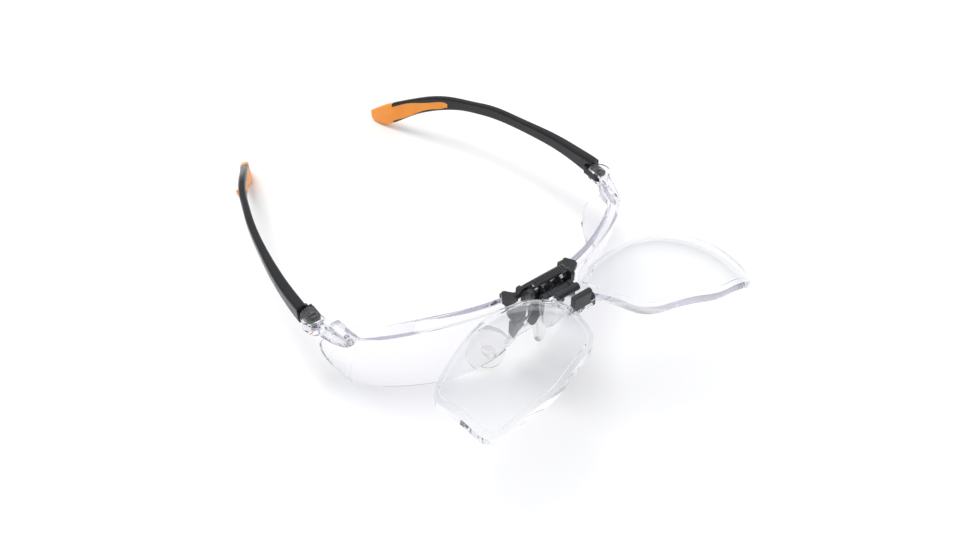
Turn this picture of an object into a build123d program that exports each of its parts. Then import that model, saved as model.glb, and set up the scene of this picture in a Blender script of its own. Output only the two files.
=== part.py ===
from build123d import *
from math import cos, hypot, radians, sin
import os

os.makedirs("parts", exist_ok=True)

# Clear protective spectacles with a clip-on flip-up magnifier, resting on the lower edge of the
# shield and on the arm tips. +X is the wearer's left, -Y is the front, +Z is up. The origin is on
# the resting plane, below the middle of the bounding box. Sizes are in millimetres.

# ---- driving dimensions: shield
WALL = 2.2                  # thickness of the clear shield
FRONT_Y = -65.1             # outer face of the shield at its middle
FRONT_RADIUS = 95.7         # plan radius of the outer face at the brow crease
SIDE_ANGLE = 12.5           # plan angle of the cheek walls to the Y axis
CORNER_X = 62.6             # where front and cheek wall would meet in plan
CORNER_Y = -41.9
CORNER_RADIUS = 6.0
LEVELS = (                  # height, inset of the front, inset of the cheek walls
    (-2.0, 10.8, 3.6),
    (10.0, 6.3, 1.2),
    (24.0, 2.3, 0.1),
    (36.0, 0.4, 0.0),
    (46.0, 0.0, 0.0),
)
BROW = (                    # plan angle, crease radius, crease height, top radius, top height
    (0.0, 95.7, 43.6, 95.8, 48.3),
    (16.0, 95.7, 43.5, 95.8, 48.0),
    (27.0, 95.7, 42.2, 94.1, 46.5),
    (36.0, 95.7, 39.8, 92.4, 43.2),
    (40.8, 94.6, 38.9, 91.0, 41.2),
    (44.5, 91.6, 38.9, 88.9, 40.6),
)

# ---- driving dimensions: hinge and arms
HINGE_X = 69.4
HINGE_Y = -20.5
LUG_BELLY = 31.0            # lowest line of the lug, halfway along it
LUG_CREST = 39.2
LUG_LOW = 33.2              # underside and top at the hinge
LUG_HIGH = 38.4
TONGUE_LOW = 34.4
TONGUE_HIGH = 37.0
HINGE_GAP = 0.25            # play above and below the tongue
HEAD_RADIUS = 1.5           # screw head and nut
HEAD_DEPTH = 0.5
TONGUE_HALF = 2.8
SCREW_RADIUS = 0.75
RUNNING_FIT = 0.05
EAR_RADIUS = 4.6            # rear end of the lug, about the hinge axis
ARM = (                     # y, centre x, centre z, width, height of the arm's section
    (-15.6, 71.3, 35.8, 4.2, 8.2),
    (-11.0, 71.2, 35.7, 4.4, 8.0),
    (-5.0, 71.0, 35.6, 4.4, 7.2),
    (4.0, 70.4, 35.5, 4.2, 6.4),
    (20.0, 68.3, 34.7, 3.6, 5.8),
    (38.0, 64.9, 33.5, 3.2, 5.6),
    (56.0, 59.9, 31.1, 3.2, 5.6),
    (70.0, 55.2, 27.6, 3.4, 6.8),
    (82.0, 49.8, 22.8, 3.6, 8.6),
    (94.0, 44.6, 15.4, 3.8, 10.6),
    (104.0, 40.7, 8.6, 4.4, 12.2),
    (111.0, 38.3, 4.9, 4.0, 9.7),
    (116.2, 37.0, 3.2, 2.4, 5.0),
)
TIP_START_Y = 101.0         # from here the arm end is all soft
STRIP_START_Y = 70.6        # front end of the soft strip on the inner face
STRIP_DEPTH = 1.3
STUD_Y = 72.0               # the strip's moulded stud shows on the outer face

# ---- driving dimensions: magnifier
APEX = (28.5, -100.5, 68.2)     # highest point of the left lobe's outer sphere
OUTER_SPHERE = 45.0
INNER_SPHERE = 47.0
LENS_MIDDLE = 3.0           # thickness at the lobe's middle
RIM_WIDTH = 1.9
RIM_LIFT = 0.6              # rim's upper edge above the lobe's surface
RIM_HEIGHT = 1.7
LOBE = (                    # plan outline of one lobe and its corner radii
    (5.3, -78.3, 0.6),
    (10.5, -78.3, 1.2),
    (13.5, -75.8, 3.0),
    (37.0, -76.6, 26.0),
    (61.8, -85.6, 7.0),
    (58.4, -114.4, 7.5),
    (35.0, -116.5, 22.0),
    (10.5, -107.6, 13.0),
    (5.3, -88.6, 1.2),
)
BRIDGE_HALF = 6.5
BRIDGE_BACK = -78.25
BRIDGE_FRONT = -88.0
BRIDGE_LOW = 53.9
BRIDGE_HIGH = 56.7

# ---- driving dimensions: clip
AXLE_Y = -75.3
AXLE_Z = 53.2
AXLE_RADIUS = 1.0
BARREL_RADIUS = 1.9
BARREL_HALF = 4.4
PIVOT_Y = -69.3
PIVOT_Z = 53.0
PIVOT_RADIUS = 0.7
BODY_HALF = 9.9             # outer faces of the clip body's cheeks
CHEEK_IN = 8.3
FLOOR_FRONT = -74.6
FLOOR_BACK = -68.2
FLOOR_LOW = 48.9
FLOOR_HIGH = 50.1
RIBS = (0.0, 4.0)           # places of the body's ribs, mirrored
RIB_WALL = 0.8
FOOT_FRONT = -66.4          # rear face of the body's feet, where the soft pads begin
EAR_IN = 6.6                # inner faces of the lever's ears
AXLE_EAR_IN = 4.7           # the body's ears at the flip axle
AXLE_EAR_OUT = 6.5
SPRING_IN = 4.9
SPRING_OUT = 6.3
STRIP_HALF = 6.6            # half length of the ribbed bar
STRIP_FRONT = -72.1
STRIP_BACK = -69.5
STRIP_LOW = 57.1
STRIP_HIGH = 58.0
RIDGE_COUNT = 13
WING_LOW = 49.3
WING_HIGH = 51.2
LEG_TOP_Y = -61.5           # front face of the leg plates above the bend
LEG_BEND_Z = 43.0
LEG_END_Y = -58.2           # front face of the legs at their lower end
LEG_END_Z = 18.2
SLEEVE_HIGH = 27.0
STRUT_IN = 12.6             # the strut from each wing down behind the shield
STRUT_OUT = 14.2
LEG_WALL = 1.2
KNUCKLE_Y = -80.1
KNUCKLE_Z = 57.5
KNUCKLE_RADIUS = 1.45
KNUCKLE_HALF = 4.8
LENS_SCREW_X = 2.4
LENS_SCREW_Y = -79.8
BLOCK_HALF = 4.0
BLOCK_FRONT = -88.5
BLOCK_BACK = -86.3
BLOCK_HIGH = 63.2
BLOCK_PIN_Y = -87.4
BLOCK_PIN_Z = 58.8
POST_HALF = 2.2             # the lens bridge's upstand inside the block
POST_FRONT = -87.95
POST_BACK = -86.85
POST_HIGH = 60.6

CENTRE_Y = FRONT_Y + FRONT_RADIUS   # axis of the shield's front in plan


def box(x0, x1, y0, y1, z0, z1):
    """A block between two corners."""
    middle = ((x0 + x1) / 2, (y0 + y1) / 2, (z0 + z1) / 2)
    return Pos(*middle) * Box(x1 - x0, y1 - y0, z1 - z0)


def rod_x(x0, x1, y, z, radius):
    """A round bar along X."""
    return Pos((x0 + x1) / 2, y, z) * Rot(0, 90, 0) * Cylinder(radius, x1 - x0)


def rod_z(x, y, z0, z1, radius):
    """A round bar along Z."""
    return Pos(x, y, (z0 + z1) / 2) * Cylinder(radius, z1 - z0)


def side_plate(points, x0, x1):
    """A plate with a side outline of y and z, between two x."""
    face = Plane.YZ * make_face(Polyline(*points, close=True))
    return Pos(x0, 0, 0) * extrude(face, x1 - x0)


def front_plate(points, y0, y1):
    """A plate with a front outline of x and z, between two y."""
    face = Plane.XZ * make_face(Polyline(*points, close=True))
    return Pos(0, y1, 0) * extrude(face, y1 - y0)


def plan_plate(points, z0, z1):
    """A plate with a plan outline of x and y, between two z."""
    return Pos(0, 0, z0) * extrude(make_face(Polyline(*points, close=True)), z1 - z0)


def mirrored(shape):
    """The same piece on the wearer's right side."""
    return mirror(shape, about=Plane.YZ)


def both(shape):
    """A piece and its mirror image, as one group."""
    return shape + mirrored(shape)


def save(name, shape):
    export_step(shape, f"parts/{name}.step")
    bounds = shape.bounding_box()
    low = [round(v, 1) for v in bounds.min]
    high = [round(v, 1) for v in bounds.max]
    print(name, len(shape.solids()), round(shape.volume), low, high)


# ---- shield
def side_line(inset):
    """Two points of the cheek wall's outer face in plan, for one inset."""
    slope = sin(radians(SIDE_ANGLE)) / cos(radians(SIDE_ANGLE))
    front = (CORNER_X - inset - 40 * slope, CORNER_Y - 40)
    back = (CORNER_X - inset + 36 * slope, CORNER_Y + 36)
    return front, back


def plan_face(height, front_inset, side_inset, shrink):
    """The area inside the shield at one height; shrink takes the wall off."""
    radius = FRONT_RADIUS - front_inset - shrink
    side_shrink = side_inset + shrink / cos(radians(SIDE_ANGLE))
    front, back = side_line(side_shrink)
    wedge = Polyline(front, back, (-back[0], back[1]), (-front[0], front[1]), close=True)
    area = make_face(wedge) & (Pos(0, CENTRE_Y) * Circle(radius))
    corners = area.vertices().sort_by(Axis.Y)[0:2]
    area = fillet(corners, CORNER_RADIUS - shrink)
    return Pos(0, 0, height) * area


def shield_hull(shrink):
    """Loft of the plan areas from the floor to above the brow."""
    faces = [plan_face(height, front, side, shrink) for height, front, side in LEVELS]
    return loft([face.face() for face in faces])


def brow_section(angle, crease_radius, crease_z, top_radius, top_z):
    """The brow band's cross-section in one upright plane through the front's axis."""
    run = top_radius - crease_radius
    rise = top_z - crease_z
    length = hypot(run, rise)
    out = (rise / length * WALL, -run / length * WALL)
    points = [
        (crease_radius, crease_z),
        (top_radius, top_z),
        (top_radius - out[0], top_z - out[1]),
        (crease_radius - out[0], crease_z - out[1]),
    ]
    plane = Plane(
        origin=(0, CENTRE_Y, 0),
        x_dir=(sin(radians(angle)), -cos(radians(angle)), 0),
        z_dir=(cos(radians(angle)), sin(radians(angle)), 0),
    )
    flat = [(x, z) for x, z in points]
    if plane.y_dir.Z < 0:
        flat = [(x, -z) for x, z in points]
    return plane * make_face(Polyline(*flat, close=True))


def brow_band():
    """The band above the crease; it stands up in the middle and lies down at the ends."""
    stations = [(-angle, *rest) for angle, *rest in reversed(BROW[1:])] + list(BROW)
    return loft([brow_section(*station).face() for station in stations])


def top_limit():
    """Everything below the crease line, as seen from the front."""
    crease = [(95.7 * sin(radians(angle)), z) for angle, _, z, _, _ in BROW[1:]]
    right = [(-x, z) for x, z in reversed(crease)]
    edge = [(-90, 39.2)] + right + crease + [(90, 39.2)]
    outline = Polyline(*edge, (90, -10), (-90, -10), close=True)
    return Pos(0, -90, 0) * extrude(Plane.XZ * make_face(outline), -110)


def side_limit():
    """The rounded rear edge of the cheek walls, as seen from the side."""
    edge = Spline((-36, 0), (-24, 3.6), (-17.2, 10), (-17.4, 18.5), (-25.5, 29), (-28, 41))
    outline = edge + Polyline(edge @ 1, (-28, 60), (-120, 60), (-120, 0), edge @ 0)
    return Pos(-90, 0, 0) * extrude(Plane.YZ * make_face(outline), 180)


def nose_gap():
    """The nose cut-out, as seen from the front."""
    right = Spline((0, 34.5), (3.8, 28), (8.6, 16), (14.5, 8.8), (24, 4), (33, -0.5))
    left = Spline((0, 34.5), (-3.8, 28), (-8.6, 16), (-14.5, 8.8), (-24, 4), (-33, -0.5))
    outline = right + Polyline(right @ 1, (33, -8), (-33, -8), left @ 1) + left
    return Pos(0, -90, 0) * extrude(Plane.XZ * make_face(outline), -60)


def front_shield():
    wall = shield_hull(0) - shield_hull(WALL)
    wall = wall & top_limit()
    shield = wall + brow_band()
    shield = shield & side_limit()
    shield = shield - nose_gap()
    holes = [rivet_place(along) * Cylinder(RIVET_RADIUS + 0.05, 12) for along in RIVETS]
    for hole in holes:
        shield = shield - hole - mirrored(hole)
    return shield


# ---- hinge lugs
RIVETS = (7.0, 14.0)        # distance of the lug's studs from the corner
RIVET_RADIUS = 0.7


def lug_plane():
    """Plan axes along the left cheek wall: x runs back along it, y points inward."""
    turn = radians(SIDE_ANGLE)
    return Plane(origin=(CORNER_X, CORNER_Y, 0), x_dir=(sin(turn), cos(turn), 0), z_dir=(0, 0, 1))


def rivet_place(along):
    """Location of a stud through lug and cheek wall."""
    spot = lug_plane().from_local_coords(Vector(along, 0, 35.4))
    return Location(spot, (0, 90, -SIDE_ANGLE))


def lug_outline():
    """Plan outline of the lug: thin at the front, round about the hinge axis at the back."""
    plane = lug_plane()
    front_in = plane.from_local_coords(Vector(3.0, -0.05, 0))
    front_out = plane.from_local_coords(Vector(3.0, -1.5, 0))
    back_out = plane.from_local_coords(Vector(22.4, -4.6, 0))
    back_in = plane.from_local_coords(Vector(22.4, -0.05, 0))
    edge = Polyline(*[(p.X, p.Y) for p in (front_in, front_out, back_out, back_in)], close=True)
    body = make_face(edge)
    ear = Pos(HINGE_X, HINGE_Y) * Circle(EAR_RADIUS)
    inner_cut = Pos(HINGE_X - 7.2, HINGE_Y + 2) * Rectangle(9.4, 16)
    return body + (ear - inner_cut)


def end_piece():
    """Clear lug on the cheek wall: a long drop with a recess, forked at the hinge."""
    middle = (LUG_BELLY + LUG_CREST) / 2
    lug = extrude(lug_outline(), LUG_CREST - LUG_BELLY)
    lug = Pos(0, 0, LUG_BELLY) * lug.solid()
    nose = (-39.6, middle + 0.9)
    side = Spline(nose, (-37.5, LUG_CREST - 1.3), (-31, LUG_CREST), (-22.4, LUG_HIGH))
    under = Spline(nose, (-37.0, middle - 2.2), (-30.5, LUG_BELLY), (-26, 31.4), (-22.4, LUG_LOW))
    outline = side + Polyline(side @ 1, (-10, LUG_HIGH), (-10, LUG_LOW), under @ 1) + under
    shape = Pos(50, 0, 0) * extrude(Plane.YZ * make_face(outline), 40)
    lug = lug & shape
    lug = lug.solid()
    slot = box(
        HINGE_X - 9, HINGE_X + 9, HINGE_Y - 3.4, HINGE_Y + 9,
        TONGUE_LOW - HINGE_GAP, TONGUE_HIGH + HINGE_GAP,
    )
    lug = lug - slot
    lug = lug - rod_z(HINGE_X, HINGE_Y, 20, 50, SCREW_RADIUS + 0.02)
    lug = lug - rod_z(HINGE_X, HINGE_Y, LUG_HIGH - HEAD_DEPTH, 50, HEAD_RADIUS + 0.05)
    lug = lug - rod_z(HINGE_X, HINGE_Y, 20, LUG_LOW + HEAD_DEPTH, HEAD_RADIUS + 0.05)
    recess = Polyline((5.0, -0.4), (5.0, 0.6), (10.0, 1.9), (17.2, 1.9), (17.2, -2.2), (9.0, -1.9))
    recess = make_face(recess + Line((9.0, -1.9), (5.0, -0.4)))
    recess = extrude(Plane.XZ * recess, 8)
    lug = lug - lug_plane() * Pos(0, -1.5, middle + 0.3) * recess
    for along in RIVETS:
        lug = lug - rivet_place(along) * Cylinder(RIVET_RADIUS + 0.05, 1.6)
    return lug


def rivets():
    """Studs between lug and cheek wall, two on each side."""
    group = None
    for along in RIVETS:
        stud = rivet_place(along) * Pos(0, 0, -0.85) * Cylinder(RIVET_RADIUS, 3.2)
        group = stud if group is None else group + stud
    return group


def hinge_screw():
    head_low = LUG_HIGH - HEAD_DEPTH
    shank = rod_z(HINGE_X, HINGE_Y, LUG_LOW + 0.2, LUG_HIGH - 0.3, SCREW_RADIUS)
    head = rod_z(HINGE_X, HINGE_Y, head_low, LUG_HIGH - 0.05, HEAD_RADIUS)
    slot = box(
        HINGE_X - 2, HINGE_X + 2, HINGE_Y - 0.22, HINGE_Y + 0.22, LUG_HIGH - 0.35, LUG_HIGH,
    )
    return shank + head - slot


def hinge_nut():
    hexagon = extrude(Pos(HINGE_X, HINGE_Y, LUG_LOW) * RegularPolygon(HEAD_RADIUS, 6), 0.45)
    return hexagon - rod_z(HINGE_X, HINGE_Y, 20, 40, SCREW_RADIUS + 0.01)


# ---- arms
def arm_section(y, x, z, width, height):
    radius = min(width, height) * 0.34
    return Plane(origin=(x, y, z), x_dir=(1, 0, 0), z_dir=(0, -1, 0)) * RectangleRounded(
        width, height, radius
    )


def whole_arm():
    """Core and soft end together: one loft along the arm."""
    return loft([arm_section(*station) for station in ARM])


def arm_at(y):
    """Centre x, centre z, width and height of the arm at one y."""
    for near, far in zip(ARM[:-1], ARM[1:]):
        if near[0] <= y <= far[0]:
            part = (y - near[0]) / (far[0] - near[0])
            return [a + (b - a) * part for a, b in zip(near[1:], far[1:])]


def soft_strip():
    """The band set into the inner face, with a rounded front end."""
    faces = []
    for step, share in ((0, 0.2), (1.4, 0.42), (6, 0.52), (16, 0.62), (26, 0.76), (32, 0.82)):
        y = STRIP_START_Y + step
        x, z, width, height = arm_at(y)
        plane = Plane(
            origin=(x - width / 2, y, z - 0.05 * height), x_dir=(1, 0, 0), z_dir=(0, -1, 0)
        )
        faces.append(plane * Rectangle(STRIP_DEPTH * 2, height * share))
    return loft(faces)


def arm_tip(whole):
    """All that is soft: the end, the strip, and the stud through the core."""
    end = box(20, 60, TIP_START_Y, 130, -10, 40)
    x, z, width, _ = arm_at(STUD_Y)
    stud = rod_x(x - width / 2 + 0.4, x + width / 2 + 0.9, STUD_Y, z - 0.4, 1.5)
    return (whole & end) + (whole & soft_strip()) + stud


def arm_core(whole, tip):
    core = whole - tip
    tongue_middle = (TONGUE_LOW + TONGUE_HIGH) / 2
    tongue_height = TONGUE_HIGH - TONGUE_LOW
    eye = Pos(HINGE_X, HINGE_Y, tongue_middle) * Cylinder(TONGUE_HALF, tongue_height)
    neck = box(
        HINGE_X - TONGUE_HALF, HINGE_X + TONGUE_HALF, HINGE_Y, -14.0, TONGUE_LOW, TONGUE_HIGH,
    )
    stop = box(HINGE_X - 1.6, HINGE_X + 2, -15.6, -12.0, TONGUE_LOW - 0.8, TONGUE_HIGH - 0.4)
    stop = fillet(stop.edges().filter_by(Axis.Z).group_by(Axis.X)[0], 0.8)
    core = core + eye + neck + stop
    relief = Pos(HINGE_X, HINGE_Y) * Circle(EAR_RADIUS + 0.35)
    relief = Pos(0, 0, 20) * extrude(relief, 30)
    keep = box(40, 90, -40, 10, TONGUE_LOW, TONGUE_HIGH)
    core = core - (relief - keep)
    return core - rod_z(HINGE_X, HINGE_Y, 20, 50, SCREW_RADIUS + RUNNING_FIT)


# ---- nose piece
def nose_pad():
    """One soft leaf behind the shield, beside the nose."""
    leaf = extrude(RectangleRounded(14.0, 20.0, 6.2), 2.4)
    leaf = fillet(leaf.edges().filter_by(GeomType.CIRCLE), 0.8)
    leaf = Pos(11.8, -51.4, 11.0) * Rot(0, 0, 38) * Rot(84, 0, 0) * Rot(0, 0, 12) * leaf
    lug = box(12.2, 15.2, -59.0, -52.2, 11.2, 14.4)
    return leaf + lug


def nose_bridge(shield):
    """Two leaves, the strap across, and a lug from each leaf to the shield's inner face."""
    strap = box(-8.2, 8.2, -56.6, -54.8, 13.4, 16.8)
    strap = fillet(strap.edges().filter_by(Axis.X), 0.8)
    piece = both(nose_pad()) + strap - shield
    return piece.solids().sort_by(SortBy.VOLUME)[-1]


# ---- clip body and its fittings
def clip_body():
    """Open basket: two cheeks, floor, ribs, ears for the flip axle and feet on the shield."""
    side = (
        (-72.9, 51.0), (-68.7, 46.8), (-67.4, 47.6), (-67.3, 51.5), (-68.5, 54.2),
        (-70.2, 55.9), (-72.3, 55.9), (-73.0, 54.8),
    )
    cheek = side_plate(side, CHEEK_IN, BODY_HALF)
    floor = box(-BODY_HALF, BODY_HALF, FLOOR_FRONT, FLOOR_BACK, FLOOR_LOW, FLOOR_HIGH)
    floor = fillet(floor.edges().filter_by(Axis.Z).group_by(Axis.Y)[0], 0.8)
    ear = rod_x(AXLE_EAR_IN, AXLE_EAR_OUT, AXLE_Y, AXLE_Z, BARREL_RADIUS + 0.1)
    post = box(AXLE_EAR_IN, AXLE_EAR_OUT, FLOOR_FRONT, -73.0, FLOOR_HIGH - 0.2, AXLE_Z)
    foot = box(5.0, 8.7, FLOOR_BACK - 0.4, FOOT_FRONT, 44.2, 49.5)
    half = cheek + ear + post + foot
    body = half + mirrored(half) + floor
    rib_side = (
        (-73.1, FLOOR_HIGH - 0.1), (FLOOR_BACK, FLOOR_HIGH - 0.1), (FLOOR_BACK, 53.6),
        (-69.2, 54.6), (-72.6, 54.6), (-73.1, 54.0),
    )
    for x in RIBS:
        rib = side_plate(rib_side, x - RIB_WALL / 2, x + RIB_WALL / 2)
        body = body + rib + mirrored(rib)
    body = body - rod_x(-20, 20, AXLE_Y, AXLE_Z, AXLE_RADIUS + 0.01)
    body = body - rod_x(-20, 20, PIVOT_Y, PIVOT_Z, PIVOT_RADIUS + 0.01)
    return body


def shield_pads():
    """Soft pads between the clip body's feet and the shield's front."""
    return both(box(5.3, 8.4, FOOT_FRONT, -65.35, 44.5, 48.2))


def clamp_pin():
    return rod_x(-BODY_HALF, BODY_HALF, PIVOT_Y, PIVOT_Z, PIVOT_RADIUS)


def clamp_spring():
    """Torsion springs round the pivot pin, each a closed coil with a tail on the floor."""
    coil = rod_x(SPRING_IN, SPRING_OUT, PIVOT_Y, PIVOT_Z, 1.55)
    coil = coil - rod_x(4, 7, PIVOT_Y, PIVOT_Z, 0.85)
    tail = box(SPRING_IN, 5.5, PIVOT_Y - 1.5, PIVOT_Y - 1.0, FLOOR_HIGH + 0.05, PIVOT_Z)
    return both(coil + tail)


def flip_axle():
    return rod_x(-AXLE_EAR_OUT, AXLE_EAR_OUT, AXLE_Y, AXLE_Z, AXLE_RADIUS)


def detent_leaf():
    """Two sprung strips that stand behind the carrier's barrel, each on a foot on the floor."""
    back = AXLE_Y + BARREL_RADIUS + 0.05
    blade = box(0.9, 3.1, back, back + 0.3, FLOOR_HIGH + 0.02, 54.2)
    foot = box(0.9, 3.1, back, back + 1.4, FLOOR_HIGH + 0.02, FLOOR_HIGH + 0.32)
    return both(blade + foot)


# ---- clamp lever
def leg_profile(front_off, back_off, top_z, end_z):
    """Side outline of the legs; they slope back with the shield below the bend."""
    slope = (LEG_END_Y - LEG_TOP_Y) / (LEG_BEND_Z - LEG_END_Z)
    points = [(LEG_END_Y - slope * (end_z - LEG_END_Z), end_z)]
    if top_z > LEG_BEND_Z:
        points += [(LEG_TOP_Y, LEG_BEND_Z), (LEG_TOP_Y, top_z)]
    else:
        points += [(LEG_END_Y - slope * (top_z - LEG_END_Z), top_z)]
    front = [(y - front_off, z) for y, z in points]
    back = [(y + LEG_WALL + back_off, z) for y, z in reversed(points)]
    return side_plate(front + back, 0, 16)


def clamp_leg():
    """Strut behind the shield, shoulder towards the middle and the leg's rounded end."""
    outline = (
        (STRUT_IN, 48.0), (STRUT_OUT, 48.0), (14.0, 46.0), (12.2, 41.5), (10.4, 37.0),
        (9.4, 32.6), (8.4, 30.4), (6.8, 30.0), (6.5, 24.5), (6.2, 21.0), (5.2, 18.8),
        (4.2, LEG_END_Z), (3.2, 19.3), (2.7, 22.0), (1.6, 26.5), (0.9, 30.8), (0.9, 34.0),
        (3.0, 37.5), (8.0, 41.0), (STRUT_IN, 46.5),
    )
    leg = leg_profile(0, 0, 48.0, LEG_END_Z) & front_plate(outline, -66, -50)
    rear = LEG_TOP_Y + LEG_WALL
    step = (
        (-63.4, WING_LOW - 0.4), (-63.4, WING_HIGH - 0.6), (-62.0, WING_HIGH - 0.6),
        (rear, 48.6), (rear, 47.0), (LEG_TOP_Y, 47.0), (LEG_TOP_Y, WING_LOW - 0.4),
    )
    return leg.solid() + side_plate(step, STRUT_IN, STRUT_OUT)


def thumb_bar():
    """Ridged bar and the bent sheet that runs down on both sides to the wings."""
    arch = (
        (-12.4, WING_LOW), (-12.4, WING_HIGH), (-STRIP_HALF, 57.7), (-STRIP_HALF, 60),
        (STRIP_HALF, 60), (STRIP_HALF, 57.7), (12.4, WING_HIGH), (12.4, WING_LOW),
        (9.9, WING_LOW), (5.4, 56.2), (-5.4, 56.2), (-9.9, WING_LOW),
    )
    sheet = (
        (STRIP_FRONT, STRIP_LOW), (STRIP_FRONT, STRIP_HIGH), (STRIP_BACK, STRIP_HIGH + 0.3),
        (-68.7, STRIP_HIGH - 0.1), (-66.6, 55.0), (-65.7, WING_HIGH), (-65.7, WING_LOW),
        (-66.9, WING_LOW), (-66.9, WING_HIGH), (-67.7, 54.4), (-69.9, STRIP_LOW),
    )
    bar = side_plate(sheet, -15, 15) & front_plate(arch, -76, -60)
    bar = bar.solid()
    pitch = 2 * (STRIP_HALF - 0.5) / (RIDGE_COUNT - 1)
    ridge = (
        (STRIP_FRONT + 0.15, STRIP_HIGH - 0.2), (STRIP_FRONT + 0.15, STRIP_HIGH + 0.25),
        (STRIP_BACK - 0.2, STRIP_HIGH + 0.6), (STRIP_BACK - 0.2, STRIP_HIGH),
    )
    ridge = side_plate(ridge, -0.25, 0.25)
    for count in range(RIDGE_COUNT):
        bar = bar + Pos(0.5 - STRIP_HALF + count * pitch, 0, 0) * ridge
    return bar


def clamp_lever():
    """Ridged bar, wings over the shield's top, pivot ears and the legs behind the shield."""
    wing = (
        (10.8, -65.3), (13.8, -61.9), (14.8, -62.1), (16.8, -65.4), (16.4, -67.0),
        (14.6, -68.0), (11.4, -67.6),
    )
    wing = plan_plate(wing, WING_LOW, WING_HIGH)
    knob = box(8.4, 10.6, -66.6, -65.0, WING_HIGH - 0.2, 53.7)
    knob = fillet(knob.edges().filter_by(Axis.Y).group_by(Axis.Z)[-1], 0.8)
    ear = rod_x(EAR_IN, CHEEK_IN - 0.3, PIVOT_Y, PIVOT_Z, 1.7)
    ear_arm = (
        (-70.4, 54.3), (PIVOT_Y, 51.3), (-66.6, 51.3), (-66.6, 53.4), (-68.4, 56.4),
    )
    half = wing + knob + ear + side_plate(ear_arm, EAR_IN, CHEEK_IN - 0.3) + clamp_leg()
    lever = thumb_bar() + half + mirrored(half)
    return lever - rod_x(-20, 20, PIVOT_Y, PIVOT_Z, PIVOT_RADIUS + RUNNING_FIT)


def leg_sleeve():
    """Soft sleeve over one leg's end."""
    low = LEG_END_Z - 0.5
    outline = (
        (7.2, SLEEVE_HIGH), (1.0, SLEEVE_HIGH), (2.1, 22.0), (2.7, 18.9), (4.0, low),
        (5.5, 18.1), (6.8, 20.8),
    )
    sleeve = leg_profile(0.5, 0.5, SLEEVE_HIGH, low) & front_plate(outline, -66, -50)
    return sleeve.solid()


# ---- magnifier
def lobe_face(shrink):
    points = [(x, y) for x, y, _ in LOBE]
    radii = [radius for _, _, radius in LOBE]
    wire = FilletPolyline(*points, radius=radii, close=True)
    face = make_face(wire)
    if shrink:
        face = offset(face, -shrink)
    return face


def ball(radius, top):
    """A sphere under the lobe's apex, with its highest point at one height."""
    return Pos(APEX[0], APEX[1], top - radius) * Sphere(radius)


def column(face):
    return Pos(0, 0, 40) * extrude(face, 40)


def lobe():
    area = column(lobe_face(0))
    optic = ball(OUTER_SPHERE, APEX[2]) & area
    optic = optic - ball(INNER_SPHERE, APEX[2] - LENS_MIDDLE)
    ring = column(lobe_face(0)) - column(lobe_face(RIM_WIDTH))
    rim_sphere = OUTER_SPHERE + RIM_LIFT
    rim_top = APEX[2] + RIM_LIFT
    rim = ring & ball(rim_sphere, rim_top)
    rim = rim - ball(rim_sphere - RIM_HEIGHT, rim_top - RIM_HEIGHT)
    return optic + rim


def magnifier_lens():
    """Two lobes, the bridge between them and the upstand that carries the block."""
    bridge = box(-BRIDGE_HALF, BRIDGE_HALF, BRIDGE_FRONT, BRIDGE_BACK, BRIDGE_LOW, BRIDGE_HIGH)
    post = box(-POST_HALF, POST_HALF, POST_FRONT, POST_BACK, BRIDGE_HIGH - 0.5, POST_HIGH)
    lens = both(lobe()) + bridge + post
    for x in (-LENS_SCREW_X, LENS_SCREW_X):
        lens = lens - rod_z(x, LENS_SCREW_Y, 40, 70, 0.8)
    return lens


def lens_carrier():
    """Barrel on the flip axle, web up to the lens bridge and the knuckle over the screws."""
    top = BRIDGE_HIGH + 0.02
    front = BRIDGE_BACK + 0.05
    barrel = rod_x(-BARREL_HALF, BARREL_HALF, AXLE_Y, AXLE_Z, BARREL_RADIUS)
    web = (
        (-74.6, 54.0), (-76.2, 54.6), (-78.6, 57.2), (KNUCKLE_Y, KNUCKLE_Z + 1.3),
        (KNUCKLE_Y, top), (front, top), (front, 53.6), (-76.8, 52.0),
    )
    knuckle = rod_x(-KNUCKLE_HALF, KNUCKLE_HALF, KNUCKLE_Y, KNUCKLE_Z, KNUCKLE_RADIUS)
    knuckle = knuckle - box(-9, 9, -90, -70, 50, top)
    carrier = barrel + side_plate(web, -BARREL_HALF, BARREL_HALF) + knuckle
    carrier = carrier - rod_x(-20, 20, AXLE_Y, AXLE_Z, AXLE_RADIUS + RUNNING_FIT)
    for x in (-LENS_SCREW_X, LENS_SCREW_X):
        carrier = carrier - rod_z(x, LENS_SCREW_Y, 50, 58.1, 0.72)
    return carrier


def clamp_block():
    """Block over the lens bridge's upstand, held by a screw from the left."""
    block = box(-BLOCK_HALF, BLOCK_HALF, BLOCK_FRONT, BLOCK_BACK, BRIDGE_HIGH + 0.02, BLOCK_HIGH)
    block = fillet(block.edges().filter_by(Axis.X).group_by(Axis.Z)[-1], 0.9)
    block = chamfer(block.edges().filter_by(Axis.Z), 0.3)
    room = 0.03
    post = box(
        -POST_HALF - room, POST_HALF + room, POST_FRONT - room, POST_BACK + room,
        50, POST_HIGH + room,
    )
    return block - post - rod_x(POST_HALF - 1, 20, BLOCK_PIN_Y, BLOCK_PIN_Z, 0.67)


def block_pin():
    shaft = rod_x(POST_HALF + 0.02, BLOCK_HALF, BLOCK_PIN_Y, BLOCK_PIN_Z, 0.65)
    head = rod_x(BLOCK_HALF, BLOCK_HALF + 1.2, BLOCK_PIN_Y, BLOCK_PIN_Z, 1.5)
    return shaft + head


def lens_screws():
    shank = rod_z(LENS_SCREW_X, LENS_SCREW_Y, BRIDGE_LOW - 0.5, 58.0, 0.7)
    head = rod_z(LENS_SCREW_X, LENS_SCREW_Y, BRIDGE_LOW - 1.0, BRIDGE_LOW - 0.02, 1.35)
    return both(shank + head)


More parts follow.
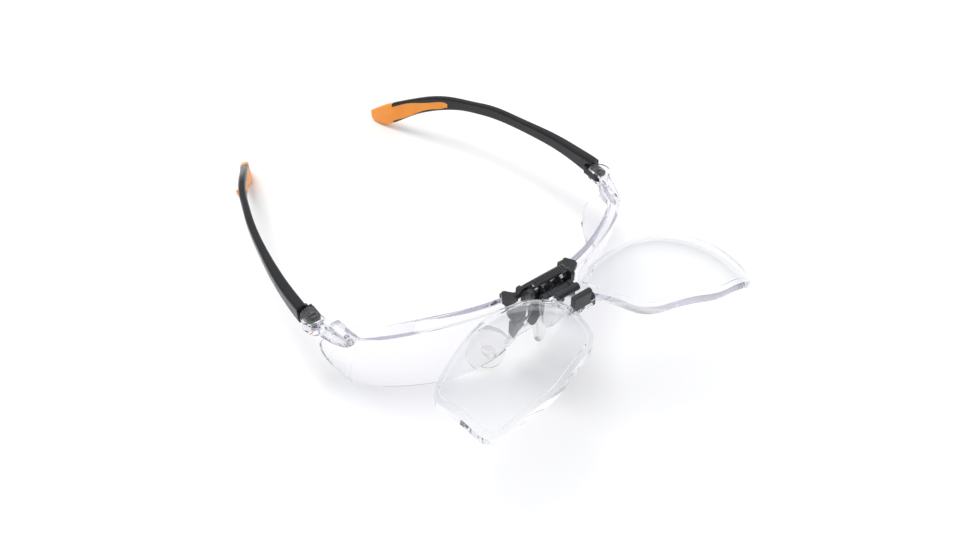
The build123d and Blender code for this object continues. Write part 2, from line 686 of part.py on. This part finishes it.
def main():
    shield = front_shield()
    save("front_shield", shield)
    lug = end_piece()
    save("left_end_piece", lug)
    save("right_end_piece", mirrored(lug))
    save("end_piece_rivets", both(rivets()))
    save("left_hinge_screw", hinge_screw())
    save("right_hinge_screw", mirrored(hinge_screw()))
    save("hinge_nuts", both(hinge_nut()))
    save("nose_bridge", nose_bridge(shield))
    whole = whole_arm()
    tip = arm_tip(whole)
    core = arm_core(whole, tip)
    save("left_arm", core)
    save("right_arm", mirrored(core))
    save("left_arm_tip", tip)
    save("right_arm_tip", mirrored(tip))
    save("clip_body", clip_body())
    save("shield_pads", shield_pads())
    lever = clamp_lever()
    save("clamp_lever", lever)
    save("leg_sleeves", both(leg_sleeve() - lever))
    save("clamp_pin", clamp_pin())
    save("clamp_spring", clamp_spring())
    save("flip_axle", flip_axle())
    save("detent_leaf", detent_leaf())
    save("lens_carrier", lens_carrier())
    save("magnifier_lens", magnifier_lens())
    save("clamp_block", clamp_block())
    save("block_pin", block_pin())
    save("lens_screws", lens_screws())


main()
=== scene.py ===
import bpy
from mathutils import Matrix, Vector


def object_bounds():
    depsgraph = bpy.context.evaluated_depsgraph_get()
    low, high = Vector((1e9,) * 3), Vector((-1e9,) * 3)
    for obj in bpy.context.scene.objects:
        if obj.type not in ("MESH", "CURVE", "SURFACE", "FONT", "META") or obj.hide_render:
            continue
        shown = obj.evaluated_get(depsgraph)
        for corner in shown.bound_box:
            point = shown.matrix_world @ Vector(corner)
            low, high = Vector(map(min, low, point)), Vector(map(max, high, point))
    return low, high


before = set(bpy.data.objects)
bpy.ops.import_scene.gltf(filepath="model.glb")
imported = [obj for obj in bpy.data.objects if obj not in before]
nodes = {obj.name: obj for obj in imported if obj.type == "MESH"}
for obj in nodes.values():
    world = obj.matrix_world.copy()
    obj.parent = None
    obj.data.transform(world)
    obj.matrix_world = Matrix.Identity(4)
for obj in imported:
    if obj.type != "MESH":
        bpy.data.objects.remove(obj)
cad_low, cad_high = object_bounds()
scene = bpy.context.scene

HAZE = 0.012              # how much the roughness of clear plastic varies
LONG_PATH = 9.5           # bounces after which light has run far inside a clear wall
BOUNCES = 28              # enough for light to leave the thick clear edges
FLOOR_SIZE = 12.0
FLOOR_GAP = 0.0002        # below the lowest point, so that the two faces don't coincide
HORIZON = (0.20, 0.20, 0.24)
ZENITH = (0.985, 0.99, 1.0)
SKY_STRENGTH = 0.90
KEY_PLACE = (-0.25, 0.15, 1.60)
KEY_TARGET = (0, -0.03, 0)
KEY_SIZE = (0.60, 0.60)
KEY_POWER = 11.5
CAMERA_PLACE = (-0.1531, -0.2411, 0.2909)
CAMERA_LOOK = (0.41720, 0.56176, -0.71440)
CAMERA_LENS = 34.23


# ---------------------------------------------------------------- node helpers
def new_material(name):
    mat = bpy.data.materials.new(name)
    mat.use_nodes = True
    tree = mat.node_tree
    shader = tree.nodes["Principled BSDF"]
    return mat, tree, shader


def noise(tree, scale, detail=3.0, rough=0.5, stretch=None):
    """Noise in the object's own metres; stretch squeezes it along axes."""
    coord = tree.nodes.new("ShaderNodeTexCoord")
    source = coord.outputs["Object"]
    if stretch:
        mapping = tree.nodes.new("ShaderNodeMapping")
        mapping.inputs["Scale"].default_value = stretch
        tree.links.new(source, mapping.inputs["Vector"])
        source = mapping.outputs["Vector"]
    tex = tree.nodes.new("ShaderNodeTexNoise")
    tex.inputs["Scale"].default_value = scale
    tex.inputs["Detail"].default_value = detail
    tex.inputs["Roughness"].default_value = rough
    tree.links.new(source, tex.inputs["Vector"])
    return tex.outputs["Fac"]


def spread(tree, value, low, high, from_low=0.3, from_high=0.7):
    node = tree.nodes.new("ShaderNodeMapRange")
    node.inputs["From Min"].default_value = from_low
    node.inputs["From Max"].default_value = from_high
    node.inputs["To Min"].default_value = low
    node.inputs["To Max"].default_value = high
    tree.links.new(value, node.inputs["Value"])
    return node.outputs["Result"]


def tone(tree, value, dark, light):
    ramp = tree.nodes.new("ShaderNodeValToRGB")
    ramp.color_ramp.elements[0].position = 0.32
    ramp.color_ramp.elements[0].color = (*dark, 1)
    ramp.color_ramp.elements[1].position = 0.68
    ramp.color_ramp.elements[1].color = (*light, 1)
    tree.links.new(value, ramp.inputs["Fac"])
    return ramp.outputs["Color"]


def bump(tree, shader, height, strength, distance):
    node = tree.nodes.new("ShaderNodeBump")
    node.inputs["Strength"].default_value = strength
    node.inputs["Distance"].default_value = distance
    tree.links.new(height, node.inputs["Height"])
    tree.links.new(node.outputs["Normal"], shader.inputs["Normal"])


def mixed(tree, factor, first, second):
    mix = tree.nodes.new("ShaderNodeMixShader")
    tree.links.new(factor, mix.inputs["Fac"])
    tree.links.new(first, mix.inputs[1])
    tree.links.new(second, mix.inputs[2])
    return mix.outputs["Shader"]


def see_through(tree, colour):
    node = tree.nodes.new("ShaderNodeBsdfTransparent")
    node.inputs["Color"].default_value = (*colour, 1)
    return node.outputs["BSDF"]


# ---------------------------------------------------------------- materials
def clear_plastic(name, tint, ior, rough, through, edge):
    """Polished clear plastic that refracts, with two stand-ins for what few bounces can't carry.

    Lamp light and light scattered by the floor pass straight through in the through colour, so
    shadows stay pale. Light past LONG_PATH bounces goes straight on in the edge colour.
    """
    mat, tree, shader = new_material(name)
    shader.inputs["Base Color"].default_value = (*tint, 1)
    shader.inputs["Transmission Weight"].default_value = 1.0
    shader.inputs["IOR"].default_value = ior
    haze = noise(tree, 160.0, 3.0)
    tree.links.new(spread(tree, haze, rough, rough + HAZE), shader.inputs["Roughness"])
    path = tree.nodes.new("ShaderNodeLightPath")
    passes = tree.nodes.new("ShaderNodeMath")
    passes.operation = "MAXIMUM"
    tree.links.new(path.outputs["Is Shadow Ray"], passes.inputs[0])
    tree.links.new(path.outputs["Is Diffuse Ray"], passes.inputs[1])
    trapped = tree.nodes.new("ShaderNodeMath")
    trapped.operation = "GREATER_THAN"
    trapped.inputs[1].default_value = LONG_PATH
    tree.links.new(path.outputs["Ray Depth"], trapped.inputs[0])
    body = mixed(tree, trapped.outputs["Value"], shader.outputs["BSDF"], see_through(tree, edge))
    surface = mixed(tree, passes.outputs["Value"], body, see_through(tree, through))
    tree.links.new(surface, tree.nodes["Material Output"].inputs["Surface"])
    return mat


def moulded(name, dark, light, rough_low, rough_high, grain, depth):
    """Moulded plastic or elastomer: fine spark-eroded grain, slow tone changes."""
    mat, tree, shader = new_material(name)
    slow = noise(tree, 90.0, 4.0)
    tree.links.new(tone(tree, slow, dark, light), shader.inputs["Base Color"])
    worn = spread(tree, noise(tree, 260.0, 5.0), rough_low, rough_high)
    tree.links.new(worn, shader.inputs["Roughness"])
    bump(tree, shader, noise(tree, 900.0, 3.0, 0.6), grain, depth)
    return mat


def metal(name, dark, light, rough_low, rough_high):
    mat, tree, shader = new_material(name)
    shader.inputs["Metallic"].default_value = 1.0
    slow = noise(tree, 300.0, 4.0)
    tree.links.new(tone(tree, slow, dark, light), shader.inputs["Base Color"])
    fine = noise(tree, 1400.0, 3.0, 0.5, (1.0, 14.0, 14.0))
    tree.links.new(spread(tree, fine, rough_low, rough_high), shader.inputs["Roughness"])
    bump(tree, shader, fine, 0.12, 0.00004)
    return mat


# tint, index, roughness, colour of light let through, colour of long paths
SHIELD = clear_plastic(
    "shield_clear", (0.950, 0.950, 0.972), 1.50, 0.0, (0.84, 0.84, 0.86), (0.58, 0.565, 0.65))
LUG = clear_plastic(
    "lug_clear", (0.920, 0.920, 0.945), 1.52, 0.02, (0.80, 0.80, 0.83), (0.58, 0.565, 0.65))
LENS = clear_plastic(
    "lens_clear", (0.945, 0.948, 0.962), 1.46, 0.0, (0.88, 0.88, 0.895), (0.74, 0.73, 0.82))
SOFT_CLEAR = clear_plastic(
    "nose_soft", (0.945, 0.942, 0.925), 1.38, 0.18, (0.90, 0.90, 0.88), (0.72, 0.71, 0.70))
# dark tone, light tone, least and most roughness, strength and depth of the grain
ARM = moulded(
    "arm_satin", (0.0075, 0.0078, 0.0090), (0.0115, 0.0120, 0.0140), 0.26, 0.36, 0.08, 0.00005)
CLIP = moulded(
    "clip_satin", (0.022, 0.023, 0.026), (0.040, 0.041, 0.045), 0.26, 0.38, 0.14, 0.00008)
SLEEVE = moulded(
    "sleeve_soft", (0.055, 0.057, 0.064), (0.078, 0.080, 0.090), 0.5, 0.62, 0.10, 0.00006)
ORANGE = moulded(
    "tip_orange", (0.88, 0.285, 0.020), (0.96, 0.345, 0.032), 0.42, 0.54, 0.10, 0.00008)
ORANGE.node_tree.nodes["Principled BSDF"].inputs["Subsurface Weight"].default_value = 0.15
ORANGE.node_tree.nodes["Principled BSDF"].inputs["Subsurface Scale"].default_value = 0.001
for shade in (ARM, CLIP):
    shade.node_tree.nodes["Principled BSDF"].inputs["Specular IOR Level"].default_value = 0.35
STEEL = metal("steel_satin", (0.52, 0.52, 0.54), (0.66, 0.66, 0.68), 0.20, 0.34)
SCREW = metal("steel_dark", (0.10, 0.10, 0.11), (0.16, 0.16, 0.17), 0.28, 0.42)

BY_NODE = {
    "front_shield": SHIELD, "left_end_piece": LUG, "right_end_piece": LUG, "end_piece_rivets": LUG,
    "left_hinge_screw": SCREW, "right_hinge_screw": SCREW, "hinge_nuts": SCREW,
    "nose_bridge": SOFT_CLEAR, "left_arm": ARM, "right_arm": ARM, "left_arm_tip": ORANGE,
    "right_arm_tip": ORANGE, "clip_body": CLIP, "shield_pads": SLEEVE, "clamp_lever": CLIP,
    "leg_sleeves": SLEEVE, "clamp_pin": STEEL, "clamp_spring": STEEL, "flip_axle": STEEL,
    "detent_leaf": STEEL, "lens_carrier": CLIP, "magnifier_lens": LENS, "clamp_block": CLIP,
    "block_pin": CLIP, "lens_screws": STEEL,
}
for name, mat in BY_NODE.items():
    node = nodes[name]
    node.data.materials.clear()
    node.data.materials.append(mat)


# ---------------------------------------------------------------- stage
def plane(name, size, height):
    half = size / 2
    mesh = bpy.data.meshes.new(name)
    corners = [(-half, -half, height), (half, -half, height), (half, half, height), (-half, half, height)]
    mesh.from_pydata(corners, [], [(0, 1, 2, 3)])
    obj = bpy.data.objects.new(name, mesh)
    scene.collection.objects.link(obj)
    return obj


floor = plane("floor", FLOOR_SIZE, cad_low[2] - FLOOR_GAP)
floor_mat, floor_tree, floor_shader = new_material("floor_paper")
floor_shader.inputs["Base Color"].default_value = (0.92, 0.92, 0.92, 1)
floor_shader.inputs["Roughness"].default_value = 0.9
floor_shader.inputs["Specular IOR Level"].default_value = 0.1
bump(floor_tree, floor_shader, noise(floor_tree, 700.0, 3.0), 0.02, 0.00005)
floor.data.materials.append(floor_mat)

def studio(horizon, zenith, strength):
    """White ceiling over a greyer horizon, which draws the outlines of the clear plastic.

    The camera itself sees a plain white wall, while the plastic reflects and bends the horizon.
    """
    world = bpy.data.worlds.new("studio")
    world.use_nodes = True
    tree = world.node_tree
    sky = tree.nodes["Background"]
    coord = tree.nodes.new("ShaderNodeTexCoord")
    split = tree.nodes.new("ShaderNodeSeparateXYZ")
    ramp = tree.nodes.new("ShaderNodeValToRGB")
    ramp.color_ramp.elements[0].position = 0.10
    ramp.color_ramp.elements[0].color = (*horizon, 1)
    ramp.color_ramp.elements[1].position = 0.45
    ramp.color_ramp.elements[1].color = (*zenith, 1)
    tree.links.new(coord.outputs["Generated"], split.inputs["Vector"])
    tree.links.new(split.outputs["Z"], ramp.inputs["Fac"])
    tree.links.new(ramp.outputs["Color"], sky.inputs["Color"])
    sky.inputs["Strength"].default_value = strength
    wall = tree.nodes.new("ShaderNodeBackground")
    wall.inputs["Color"].default_value = (*zenith, 1)
    path = tree.nodes.new("ShaderNodeLightPath")
    seen = mixed(tree, path.outputs["Is Camera Ray"], sky.outputs["Background"], wall.outputs["Background"])
    tree.links.new(seen, tree.nodes["World Output"].inputs["Surface"])
    scene.world = world


studio(HORIZON, ZENITH, SKY_STRENGTH)


def area(name, place, target, size, power):
    data = bpy.data.lights.new(name, "AREA")
    data.shape = "RECTANGLE"
    data.size, data.size_y = size
    data.energy = power
    obj = bpy.data.objects.new(name, data)
    obj.location = place
    obj.rotation_euler = (Vector(target) - Vector(place)).to_track_quat("-Z", "Y").to_euler()
    scene.collection.objects.link(obj)
    return obj


key = area("key", KEY_PLACE, KEY_TARGET, KEY_SIZE, KEY_POWER)
key.visible_glossy = False
key.visible_transmission = False
scene.cycles.max_bounces = BOUNCES
scene.cycles.transmission_bounces = BOUNCES
scene.cycles.transparent_max_bounces = BOUNCES
scene.cycles.glossy_bounces = BOUNCES

camera_data = bpy.data.cameras.new("view")
camera_data.sensor_width = 36.0
camera_data.lens = CAMERA_LENS
camera_data.clip_start = 0.01
camera_data.clip_end = 50.0
camera = bpy.data.objects.new("view", camera_data)
camera.location = CAMERA_PLACE
camera.rotation_euler = Vector(CAMERA_LOOK).to_track_quat("-Z", "Y").to_euler()
scene.collection.objects.link(camera)
scene.camera = camera
scene.view_settings.view_transform = "Standard"
